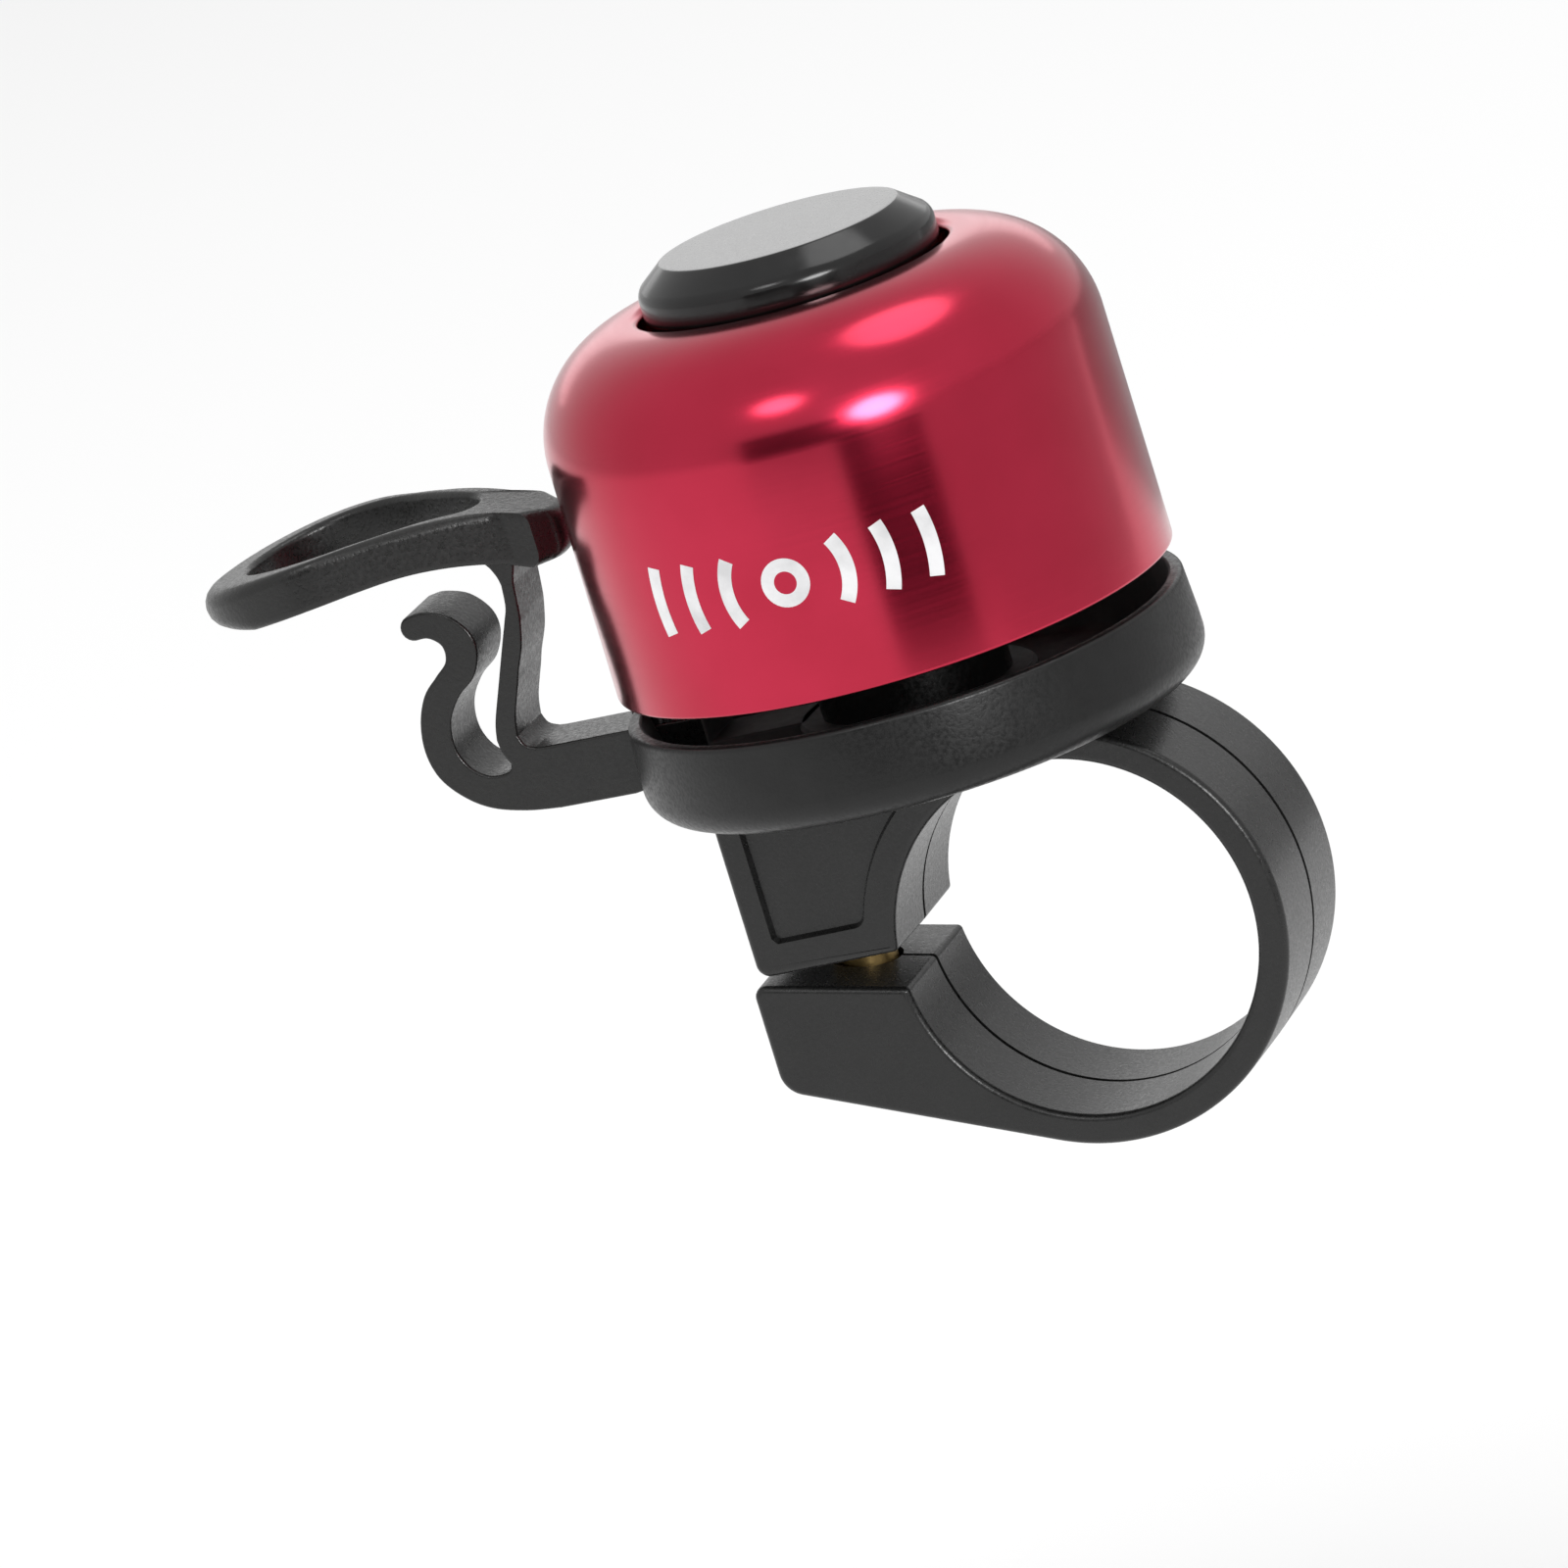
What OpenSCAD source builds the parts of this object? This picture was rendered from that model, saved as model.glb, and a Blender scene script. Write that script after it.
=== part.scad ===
// Small handlebar bell: a spun dome on a moulded base, a thumb lever on a
// flexing leaf, and a hinged band clamp closed by one screw.
// Origin: centre of the clamp bore. +Y runs along the handlebar, +Z along the
// bell's axis towards the cap, and the thumb lever is on the -X side.

/* [Clamp] */
// Radius of the bore that grips the handlebar
bore_r = 11.25; // [11:0.05:12]
// Thickness of the clamp's band
band_t = 2; // [1.6:0.1:2.2]
// Width of the clamp along the handlebar
clamp_w = 12.2; // [11:0.1:12.4]
// Half angle of the thin stretch of band that bends
flexure_half = 18; // [10:1:25]
// Distance of the clamp screw from the bore's axis
clamp_screw_x = 15.6; // [15.4:0.1:15.8]

/* [Dome] */
// Distance of the bell's axis from the bore's axis
bell_x = 7.3; // [7:0.1:7.6]
// Height of the dome's rim over the bore's axis
rim_z = 20.5; // [20.3:0.1:21]
// Outer radius of the rim
rim_r = 17.5; // [17.4:0.1:18]
// Height of the dome from rim to crown
dome_h = 21.9; // [21:0.1:22.4]
// Radius of the dome's shoulder
shoulder_r = 7.1; // [5:0.1:7.1]
// Wall thickness of the dome
dome_wall = 1.2; // [0.8:0.1:1.4]
// Radius of the recess in the crown
recess_r = 9.7; // [9.6:0.1:10]
// Depth of the recess in the crown
recess_depth = 3.2; // [2.9:0.1:3.3]

/* [Cap] */
// Largest radius of the cap
cap_r = 9.25; // [9:0.05:9.4]
// Radius of the cap's flat top
cap_flat_r = 7.65; // [7:0.05:8]
// Height of the cap over the floor of the recess
cap_h = 6.1; // [5.5:0.1:6.5]

/* [Base] */
// Outer radius of the dish at its lip
dish_r = 17.6; // [17.6:0.05:18]
// Gap between the dish's lip and the dome's rim
rim_gap = 1.9; // [1.5:0.1:2.2]
// Height of the dish
dish_h = 5.95; // [5.8:0.05:6.2]
// Thickness of the dish's floor
dish_floor = 1.05; // [1:0.05:1.3]
// Radius of the post that carries the dome
post_r = 4.3; // [4:0.1:4.5]

/* [Striker] */
// Width of the arm, the leaf and the hammer head
arm_w = 4.8; // [4.4:0.1:5]
// Outer radius of the finger ring's round end
ring_r = 7.4; // [7:0.1:8]
// Radius of the round end of the ring's opening
opening_r = 5.85; // [5:0.05:6]
// Thickness of the leaf
leaf_t = 1.4; // [1.2:0.1:1.6]

/* [Hardware] */
// Radius of both screws, drawn without thread
screw_r = 1.95; // [1.9:0.01:1.95]
// Length of both screws under the head
screw_len = 16; // [15:0.5:16]

/* [Hidden] */
$fn = 64;
cut = 0.01;                                 // overshoot of a cutting tool
band_r = bore_r + band_t;                   // outer radius of the band
dish_top = rim_z - rim_gap;                 // lip of the dish
dish_bottom = dish_top - dish_h;            // underside of the dish, top of the leg
floor_z = dish_bottom + dish_floor;         // inside of the dish
recess_z = rim_z + dome_h - recess_depth;   // floor of the recess in the crown
spacer_top = recess_z - dome_wall - 1;      // the isolating washer is 1 mm thick
post_top = spacer_top - 0.5;
insert_r = 3;
insert_h = 11.5;                            // brass insert, flush with the top of the post
root_top = floor_z + 2;                     // top of the arm's root ring
seat_z = -3.15;                             // seat of the washer in the lug
washer_t = 0.8;
washer_gap = 0.25;                          // slack of the washer under its seat
clamp_head_z = seat_z - washer_gap - washer_t;
dome_head_z = recess_z + 1.7;               // flat washer and spring washer under the head
nut_z = 6;
leaf_bottom = 17.5;
leaf_top = 28;
lever_tip_x = -50;                          // far end of the finger ring
nose_x = -25.9;                             // nose of the hammer head
leg_x = -20.45;                             // face of the leg away from the bore
toe_z = 1.35;                               // underside of the leg
clearance_r = 2.2;                          // hole for an M4 screw
jaw_end_r = 0.4;                            // rounding where the clamp's opening meets the bore
black = [0.09, 0.09, 0.09];
steel = [0.75, 0.75, 0.77];
zinc = [0.8, 0.68, 0.4];

// ---- outlines ----

// Points on an arc about c from angle a to angle b
function arc(c, r, a, b, n = 16) =
    [for (i = [0:n]) let (t = a + (b - a) * i / n) c + r * [cos(t), sin(t)]];

// Direction of a path at point i
function heading(path, i) =
    let (d = path[min(i + 1, len(path) - 1)] - path[max(i - 1, 0)]) d / norm(d);

// One side of a strip along a path, whose half width runs from h0 to h1
function side(path, h0, h1, s) =
    [for (i = [0:len(path) - 1])
        let (d = heading(path, i), h = h0 + (h1 - h0) * i / (len(path) - 1)) path[i] + s * h * [-d[1], d[0]]];

function reverse(list) = [for (i = [len(list) - 1:-1:0]) list[i]];

// Drop shape: a big circle at big_x and a small one at small_x, joined by their tangents
module drop(big_x, big_r, small_x, small_r) {
    lean = acos((big_r - small_r) / (small_x - big_x));
    polygon(concat(arc([big_x, 0], big_r, lean, 360 - lean, 32),
                   arc([small_x, 0], small_r, -lean, lean, 16)));
}

// An outline drawn in x and z, extruded along y about the middle plane
module plate(width) {
    translate([0, width / 2, 0]) rotate([90, 0, 0]) linear_extrude(width) children();
}

// Moves onto the bell's axis
module on_bell(z = 0) {
    translate([-bell_x, 0, z]) children();
}

// Moves onto the clamp screw's axis
module on_clamp_screw(z) {
    translate([-clamp_screw_x, 0, z]) children();
}

module ring(r_out, r_in, h) {
    difference() {
        cylinder(r = r_out, h = h);
        translate([0, 0, -cut]) cylinder(r = r_in, h = h + 2 * cut);
    }
}

// ---- clamp ----

// Stretch of the band from angle a to angle b
module band_sector(a, b) {
    intersection() {
        difference() {
            circle(r = band_r, $fn = 96);
            circle(r = bore_r, $fn = 96);
        }
        polygon(concat([[0, 0]], arc([0, 0], 2 * band_r, a, b, 8)));
    }
}

// Leg and upper half of the band
module bracket_outline() {
    round_r = bore_r + jaw_end_r;
    end_a = asin((toe_z + jaw_end_r) / round_r);
    band_sector(flexure_half, 180 - end_a);
    difference() {
        polygon(concat([[leg_x, dish_bottom]], arc([leg_x + 0.9, toe_z + 0.9], 0.9, 180, 270, 6),
                       arc(round_r * [-cos(end_a), sin(end_a)], jaw_end_r, 270, 360 - end_a, 4),
                       [[0, 0], [0, dish_bottom]]));
        circle(r = bore_r, $fn = 96);
    }
}

// Sunk panel on each side of the leg, bounded by the band's own outline
module leg_panel() {
    difference() {
        polygon([[-18.8, dish_bottom + 1], [-18.8, 3.4], [-12.9, 3.4],
                 [-5, dish_bottom], [-5, dish_bottom + 1]]);
        circle(r = band_r, $fn = 96);
    }
}

module clamp_bracket() {
    panel_depth = 0.35;
    color(black) difference() {
        union() {
            plate(clamp_w) bracket_outline();
            on_bell(dish_bottom - 0.5) cylinder(r = post_r, h = post_top - dish_bottom + 0.5);
        }
        for (s = [-1, 1])
            translate([0, s * (clamp_w - panel_depth + cut) / 2, 0]) plate(panel_depth + cut) leg_panel();
        on_clamp_screw(0) cylinder(r = clearance_r, h = dish_bottom + 1);
        on_clamp_screw(nut_z) cylinder(d = 7.1 / cos(30), h = dish_bottom, $fn = 6);
        on_bell(post_top - insert_h) cylinder(r = insert_r, h = insert_h + 1);
        on_bell(post_top - insert_h - 1.5) cylinder(r = clearance_r, h = 2);
    }
}

module band_flexure() {
    color(black) plate(clamp_w) band_sector(-flexure_half, flexure_half);
}

// Lug and lower half of the band: the lug's underside is a tangent of the band
module jaw_outline() {
    tangent_a = 248.5;
    band_sector(tangent_a - 5, 360 - flexure_half);
    difference() {
        polygon(concat(arc([-11.58, -1.25], jaw_end_r, 6, 78, 4), arc([-20.1, 0.4], 0.55, 78, 175, 6),
                       arc([-19.35, -4.75], 1.77, 178, tangent_a, 8),
                       [band_r * [cos(tangent_a), sin(tangent_a)], [0, 0]]));
        circle(r = bore_r, $fn = 96);
    }
}

module clamp_jaw() {
    color(black) difference() {
        plate(clamp_w) jaw_outline();
        on_clamp_screw(-15) cylinder(r = 2.3, h = 20);
        on_clamp_screw(seat_z - 10) cylinder(r = 4.5, h = 10);
    }
}

module clamp_nut() {
    color(zinc) on_clamp_screw(nut_z) difference() {
        cylinder(d = 7 / cos(30), h = 3.2, $fn = 6);
        translate([0, 0, -cut]) cylinder(r = screw_r + 0.05, h = 4);
    }
}

module clamp_washer() {
    color(zinc) on_clamp_screw(clamp_head_z) ring(4, screw_r + 0.2, washer_t);
}

// Pan head screw with a cross recess: the head's seat at z = 0, the shank downwards
module pan_screw(head_h) {
    difference() {
        union() {
            cylinder(r1 = 3.5, r2 = 3.1, h = head_h);
            translate([0, 0, -screw_len]) cylinder(r = screw_r, h = screw_len);
        }
        for (a = [0, 90]) rotate([0, 0, a]) translate([-1.7, -0.35, head_h - 1.2]) cube([3.4, 0.7, 2]);
    }
}

module clamp_screw() {
    color(zinc) on_clamp_screw(clamp_head_z) mirror([0, 0, 1]) pan_screw(2.3);
}

// ---- base ----

// The dish with a trough for the band, a hole for the post and a notch for the arm
module base_dish() {
    foot_r = 2;
    wall_r = dish_r + 0.2;
    color(black) difference() {
        on_bell() rotate_extrude($fn = 96) polygon(concat(
            [[post_r + 0.05, floor_z], [post_r + 0.05, dish_bottom]],
            arc([wall_r - foot_r, dish_bottom + foot_r], foot_r, 270, 360, 8),
            [[dish_r, dish_top - 0.3], [dish_r - 0.3, dish_top],
             [dish_r - 1, dish_top], [dish_r - 2, floor_z]]));
        plate(clamp_w + 0.1) circle(r = band_r + 0.05, $fn = 96);
        translate([-bell_x - 20, -arm_w / 2 - 0.05, floor_z]) cube([20, arm_w + 0.1, 10]);
    }
}

// ---- striker ----

hook_low = [-34.3, 18.7];                   // centre of the hook's lower bend
hook_high = [-36.05, 24.95];                // centre of its upper curl
hook_path = concat(arc(hook_low, 3.3, 262, 146, 18), arc(hook_high, 1.75, -34, 112, 16));

// Hook, from the bar to the rounded tip
module hook_outline() {
    tip = hook_path[len(hook_path) - 1];
    polygon(concat(side(hook_path, 1.05, 0.8, 1), reverse(side(hook_path, 1.05, 0.8, -1))));
    translate(tip) circle(r = 0.8, $fn = 24);
}

// Bar that leaves the dish, with the leaf's foot on top
module bar_outline() {
    polygon(concat(
        [[-bell_x - post_r - 3, floor_z], [-bell_x - post_r - 3, root_top], [-21, root_top],
         [-21, 17.4], [-30.9, leaf_bottom], [-32.2, leaf_bottom]],
        [[-33.4, leaf_bottom], [-33.35, 16.8], [-34.2, 16.4], [-34.95, 16.5]],
        [[-35.3, 14.4], [-34.4, 14.1], [-33.1, 13.9], [-31.5, floor_z]]));
}

module striker_arm() {
    color(black) {
        difference() {
            union() {
                plate(arm_w) {
                    hook_outline();
                    bar_outline();
                }
                on_bell(floor_z) cylinder(r = post_r + 3.2, h = root_top - floor_z);
                arm_key();
            }
            on_bell(floor_z - 1) cylinder(r = post_r + 0.05, h = 10);
        }
    }
}

// Block on the arm that closes the notch in the dish's wall
module arm_key() {
    intersection() {
        on_bell(floor_z) ring(dish_r, dish_r - 1.6, dish_top - floor_z);
        translate([-bell_x - 20, -arm_w / 2, 0]) cube([10, arm_w, 30]);
    }
}

leaf_path = [[-32.95, leaf_bottom], [-32.8, 19], [-32.35, 20.4],
             [-31, 23.9], [-30.15, 26.1], [-29.95, leaf_top]];

module leaf_spring() {
    half = leaf_t / 2;
    color(black) plate(arm_w) intersection() {
        polygon(concat(side(leaf_path, half, half, 1), reverse(side(leaf_path, half, half, -1))));
        translate([-40, leaf_bottom]) square([20, leaf_top - leaf_bottom]);
    }
}

// Height of the lever's top and of its underside at x
function lever_top(x) = 33.25 - (x < -35.5 ? 0.0075 : 0.0135) * pow(x + 35.5, 2);
function lever_bottom(x) = 30.4 - (x < -36 ? 0.0095 : 0.027) * pow(max(x, -45) + 36, 2);

// Side view of the lever: arched ring, blunt hammer head, and the web over the leaf
module lever_side() {
    polygon(concat(
        arc([lever_tip_x + 1.2, 30.75], 1.2, 262, 112, 10),
        [for (x = [-48.5:1:-27.5]) [x, lever_top(x)]],
        arc([nose_x - 1.3, 30.95], 1.3, 80, 0, 6),
        arc([nose_x - 1.4, 29.95], 1.4, 0, -75, 6),
        [[-28.4, 28.8], [-29.15, 28.7], [-29.3, leaf_top], [-30.6, leaf_top], [-30.7, 28.7], [-31.2, 29.5]],
        [for (x = [-32:-1:-48]) [x, lever_bottom(x)]]));
}

// Top view of the lever: the drop-shaped ring and the hammer head with its bevelled nose
module lever_plan() {
    half = arm_w / 2;
    ring_x = lever_tip_x + ring_r;
    nose = [[-29.5, -half], [-27.4, -half], [-26.4, -1.4], [-26.05, -0.75], [nose_x, 0]];
    difference() {
        union() {
            drop(ring_x, ring_r, -29, half);
            polygon(concat(nose, reverse([for (p = nose) [p[0], -p[1]]])));
        }
        drop(-40.9, opening_r, -34.2, 2.8);
    }
}

module thumb_lever() {
    color(black) intersection() {
        plate(2 * ring_r + 1) lever_side();
        translate([0, 0, leaf_top - 1]) linear_extrude(8) lever_plan();
    }
}

// ---- dome and its fastening ----

module post_insert() {
    color("gold") on_bell(post_top - insert_h) ring(insert_r, screw_r + 0.05, insert_h);
}

module dome_spacer() {
    color(black) on_bell(root_top) ring(post_r + 1.7, post_r + 0.05, spacer_top - root_top);
}

module isolating_washer() {
    color("dimgray") on_bell(spacer_top) ring(8.5, 2.3, 1);
}

module bell_dome() {
    rim_to_shoulder = dome_h - shoulder_r;
    shoulder_x = rim_r - 0.1 - shoulder_r;
    floor_h = dome_h - recess_depth;
    lip = 0.5;
    color([0.76, 0.1, 0.22]) on_bell(rim_z) rotate_extrude($fn = 96) polygon(concat(
        [[rim_r - dome_wall, 0], [rim_r, 0]],
        arc([shoulder_x, rim_to_shoulder], shoulder_r, 0, 90, 24),
        arc([recess_r + lip, dome_h - lip], lip, 90, 180, 6),
        [[recess_r, floor_h], [2.3, floor_h], [2.3, floor_h - dome_wall],
         [recess_r + dome_wall, floor_h - dome_wall]],
        arc([shoulder_x, rim_to_shoulder], shoulder_r - dome_wall, 88, 0, 24)));
}

module crown_washer() {
    color(steel) on_bell(recess_z) ring(6, screw_r + 0.2, 0.8);
}

module spring_washer() {
    color(steel) on_bell(recess_z + 0.8) difference() {
        ring(3.4, screw_r + 0.2, 0.9);
        rotate([0, 0, 30]) translate([0, -0.4, -cut]) cube([5, 0.8, 2]);
    }
}

module dome_screw() {
    color(steel) on_bell(dome_head_z) pan_screw(2.2);
}

// Round cap that covers the screw: a hollow shell with a socket that grips the head
module top_cap() {
    skirt_r = cap_r - 0.3;
    shell_z = cap_h - 1.4;
    color(black) on_bell(recess_z) {
        rotate_extrude($fn = 96) polygon(concat(
            [[0, shell_z], [skirt_r - 1.5, shell_z], [skirt_r - 1.5, 0],
             [skirt_r, 0], [skirt_r, shell_z - 1.4]],
            arc([cap_r - 1, cap_h - 2], 1, -20, 45, 6),
            [[cap_flat_r + 0.3, cap_h - 0.2], [cap_flat_r, cap_h], [0, cap_h]]));
        translate([0, 0, 2]) ring(5, 3.55, shell_z - 2);
    }
}

clamp_bracket();
band_flexure();
clamp_jaw();
clamp_nut();
clamp_washer();
clamp_screw();
base_dish();
striker_arm();
leaf_spring();
thumb_lever();
post_insert();
dome_spacer();
isolating_washer();
bell_dome();
crown_washer();
spring_washer();
dome_screw();
top_cap();
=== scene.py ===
"""Looks of the handlebar bell: each visible piece is rebuilt round the CAD frame, in millimetres."""
import math

import bmesh
import bpy
from mathutils import Matrix, Vector


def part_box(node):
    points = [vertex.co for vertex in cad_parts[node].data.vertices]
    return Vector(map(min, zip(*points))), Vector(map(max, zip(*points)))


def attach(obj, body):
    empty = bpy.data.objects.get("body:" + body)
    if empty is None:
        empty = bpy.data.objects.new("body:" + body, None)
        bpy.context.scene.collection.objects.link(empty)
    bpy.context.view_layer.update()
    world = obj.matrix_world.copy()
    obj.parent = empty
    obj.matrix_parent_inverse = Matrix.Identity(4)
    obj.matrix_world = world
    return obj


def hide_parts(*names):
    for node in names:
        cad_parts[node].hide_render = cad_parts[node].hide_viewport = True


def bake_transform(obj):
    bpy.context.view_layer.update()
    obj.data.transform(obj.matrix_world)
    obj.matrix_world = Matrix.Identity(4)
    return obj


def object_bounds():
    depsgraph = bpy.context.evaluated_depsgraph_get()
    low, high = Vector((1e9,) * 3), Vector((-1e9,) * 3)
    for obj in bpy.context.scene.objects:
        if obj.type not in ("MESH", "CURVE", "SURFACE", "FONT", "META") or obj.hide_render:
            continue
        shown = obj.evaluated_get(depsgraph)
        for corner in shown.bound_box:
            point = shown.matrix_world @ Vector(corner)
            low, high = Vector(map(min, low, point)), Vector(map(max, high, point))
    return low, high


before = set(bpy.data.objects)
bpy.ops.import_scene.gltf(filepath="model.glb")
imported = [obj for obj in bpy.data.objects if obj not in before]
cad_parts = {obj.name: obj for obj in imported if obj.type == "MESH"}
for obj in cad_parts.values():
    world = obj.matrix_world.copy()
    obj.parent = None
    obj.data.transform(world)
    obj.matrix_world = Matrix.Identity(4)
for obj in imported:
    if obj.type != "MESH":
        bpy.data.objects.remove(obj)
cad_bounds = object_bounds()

MM = 0.001


def span_mm(node):
    """Lowest and highest corner of a CAD node, in millimetres."""
    low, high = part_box(node)
    return [c / MM for c in low], [c / MM for c in high]


# ---- sizes, from the frame ----

DOME_LOW, DOME_HIGH = span_mm("bell_dome")
DISH_LOW, DISH_HIGH = span_mm("base_dish")
CAP_LOW, CAP_HIGH = span_mm("top_cap")
BRACKET_LOW, BRACKET_HIGH = span_mm("clamp_bracket")
LEAF_LOW, LEAF_HIGH = span_mm("leaf_spring")
LEVER_LOW, LEVER_HIGH = span_mm("thumb_lever")
SCREW_LOW, SCREW_HIGH = span_mm("clamp_screw")

WALL_DRAFT = 0.1              # how far the dome's wall leans in from the rim to the shoulder
DISH_DRAFT = 0.2              # how far the dish's wall leans in from the foot to the lip
BELL_X = (DOME_LOW[0] + DOME_HIGH[0]) / 2
RIM_R = (DOME_HIGH[0] - DOME_LOW[0]) / 2
RIM_Z = DOME_LOW[2]
CROWN_Z = DOME_HIGH[2]
DISH_R = (DISH_HIGH[0] - DISH_LOW[0]) / 2 - DISH_DRAFT
DISH_BOTTOM = DISH_LOW[2]
DISH_TOP = DISH_HIGH[2]
CAP_R = (CAP_HIGH[0] - CAP_LOW[0]) / 2
RECESS_Z = CAP_LOW[2]
BAND_R = span_mm("band_flexure")[1][0]
BAND_T = 2
BORE_R = BAND_R - BAND_T
CLAMP_HALF = BRACKET_HIGH[1]
ARM_HALF = LEAF_HIGH[1]
LEAF_FOOT = LEAF_LOW[2]
LEAF_TOP = LEAF_HIGH[2]
RING_R = LEVER_HIGH[1]
RING_X = LEVER_LOW[0] + RING_R
SCREW_X = (SCREW_LOW[0] + SCREW_HIGH[0]) / 2
POST_TOP = BRACKET_HIGH[2]
POST_R = 4.3
LEG_X = BRACKET_LOW[0]
LUG_X = span_mm("clamp_jaw")[0][0]
FLOOR_Z = span_mm("striker_arm")[0][2]
SHOULDER_R = 7.1
SHOULDER_X = RIM_R - WALL_DRAFT - SHOULDER_R
SHOULDER_Z = CROWN_Z - SHOULDER_R


# ---- outlines ----

def arc(centre, radius, start, end, count=16):
    """Points on an arc, from angle start to angle end, in degrees."""
    cx, cz = centre
    angles = [math.radians(start + (end - start) * i / count) for i in range(count + 1)]
    return [(cx + radius * math.cos(a), cz + radius * math.sin(a)) for a in angles]


def smooth(points, steps=8):
    """A Catmull-Rom curve through the points."""
    ends = [points[0]] + list(points) + [points[-1]]
    curve = []
    for i in range(1, len(ends) - 2):
        p0, p1, p2, p3 = (Vector(p) for p in ends[i - 1:i + 3])
        for k in range(steps):
            t = k / steps
            curve.append(0.5 * (2 * p1 + (p2 - p0) * t + (2 * p0 - 5 * p1 + 4 * p2 - p3) * t * t
                                + (3 * p1 - p0 - 3 * p2 + p3) * t ** 3))
    return [tuple(p) for p in curve] + [tuple(points[-1])]


def clean(outline):
    """The closed outline without points that lie on each other."""
    gap = 0.02
    kept = []
    for p in outline:
        if not kept or math.dist(p, kept[-1]) > gap:
            kept.append(p)
    if math.dist(kept[0], kept[-1]) <= gap:
        kept.pop()
    return kept


def counter_clockwise(outline):
    """The closed outline, turned round if it runs clockwise."""
    area = sum(p[0] * q[1] - q[0] * p[1] for p, q in zip(outline, outline[1:] + outline[:1]))
    return outline if area > 0 else outline[::-1]


def inset(outline, depth, seams=()):
    """A counter-clockwise outline moved inwards by depth, except for the edges between two seam points."""
    count = len(outline)
    on_seam = [any(math.dist(p, q) < 0.01 for q in seams) for p in outline]
    moved = []
    for i, p in enumerate(outline):
        before, after = i - 1, (i + 1) % count
        move_in = 0 if on_seam[before] and on_seam[i] else depth
        move_out = 0 if on_seam[i] and on_seam[after] else depth
        in_edge = (Vector(p) - Vector(outline[before])).normalized()
        out_edge = (Vector(outline[after]) - Vector(p)).normalized()
        turn = in_edge.cross(out_edge)
        if abs(turn) < 0.05:
            shift = Vector((-in_edge.y - out_edge.y, in_edge.x + out_edge.x)) * (move_in + move_out) / 4
        else:
            shift = (out_edge * move_in - in_edge * move_out) / turn
        if shift.length > 2 * depth:
            shift *= 2 * depth / shift.length
        moved.append((p[0] + shift.x, p[1] + shift.y))
    return moved


def edge_stations(half, radius, draft=0.0, groove=0.0):
    """Stations (y, inset) across a moulding: rounded edges, a draft, and a groove at the parting line."""
    steps = 5
    side = []
    for i in range(steps + 1):
        a = math.radians(90 * i / steps)
        side.append((-half + radius * (1 - math.cos(a)), draft + radius * (1 - math.sin(a))))
    if groove:
        side += [(-groove, 0.0), (-0.8 * groove, 2 * groove)]
    return side + [(-y, d) for y, d in reversed(side)]


# ---- meshes ----

def mesh_object(name, verts, faces, sharp=35):
    """A smooth-shaded object from points in millimetres; edges steeper than sharp degrees stay crisp."""
    mesh = bpy.data.meshes.new(name)
    mesh.from_pydata([(x * MM, y * MM, z * MM) for x, y, z in verts], [], faces)
    mesh.update()
    obj = bpy.data.objects.new(name, mesh)
    bpy.context.scene.collection.objects.link(obj)
    crease(obj, sharp)
    return obj


def crease(obj, sharp=35):
    """Points the normals outwards, smooths every face and keeps steep edges crisp."""
    bm = bmesh.new()
    bm.from_mesh(obj.data)
    bmesh.ops.remove_doubles(bm, verts=bm.verts, dist=1e-7)
    bmesh.ops.recalc_face_normals(bm, faces=bm.faces)
    limit = math.radians(sharp)
    for face in bm.faces:
        face.smooth = True
    for edge in bm.edges:
        edge.smooth = edge.calc_face_angle(0) < limit
    bm.to_mesh(obj.data)
    bm.free()


def flatten_normals(obj):
    """Lets large flat faces keep their own normals next to rounded edges."""
    weighted = obj.modifiers.new("flat faces", "WEIGHTED_NORMAL")
    weighted.keep_sharp = True


def slab(name, outline, stations, seams=(), sharp=35):
    """An outline in x and z carried through stations (y, inset), with a flat face at each end."""
    outline = counter_clockwise(clean(outline))
    count = len(outline)
    verts = []
    for y, depth in stations:
        verts += [(x, y, z) for x, z in inset(outline, depth, seams)]
    faces = []
    for k in range(len(stations) - 1):
        for i in range(count):
            j = (i + 1) % count
            faces.append((k * count + i, k * count + j, (k + 1) * count + j, (k + 1) * count + i))
    faces.append(tuple(range(count)))
    faces.append(tuple(reversed(range((len(stations) - 1) * count, len(stations) * count))))
    obj = mesh_object(name, verts, faces, sharp)
    flatten_normals(obj)
    return obj


def loop(name, sections):
    """A closed chain of closed sections, each with the same number of points."""
    count = len(sections[0])
    verts = [p for section in sections for p in section]
    faces = []
    for k in range(len(sections)):
        m = (k + 1) % len(sections)
        for i in range(count):
            j = (i + 1) % count
            faces.append((k * count + i, k * count + j, m * count + j, m * count + i))
    return mesh_object(name, verts, faces)


def chain(name, sections):
    """An open chain of closed sections, capped at both ends."""
    count = len(sections[0])
    verts = [p for section in sections for p in section]
    faces = [tuple(range(count)), tuple(reversed(range(len(verts) - count, len(verts))))]
    for k in range(len(sections) - 1):
        for i in range(count):
            j = (i + 1) % count
            faces.append((k * count + i, k * count + j, (k + 1) * count + j, (k + 1) * count + i))
    return mesh_object(name, verts, faces)


def lathe(name, profile, x=BELL_X, segments=192):
    """A closed profile of (r, z) turned about the bell's axis, or about another vertical axis."""
    sections = []
    for k in range(segments):
        a = 2 * math.pi * k / segments
        sections.append([(x + r * math.cos(a), r * math.sin(a), z) for r, z in profile])
    return loop(name, sections)


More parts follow.
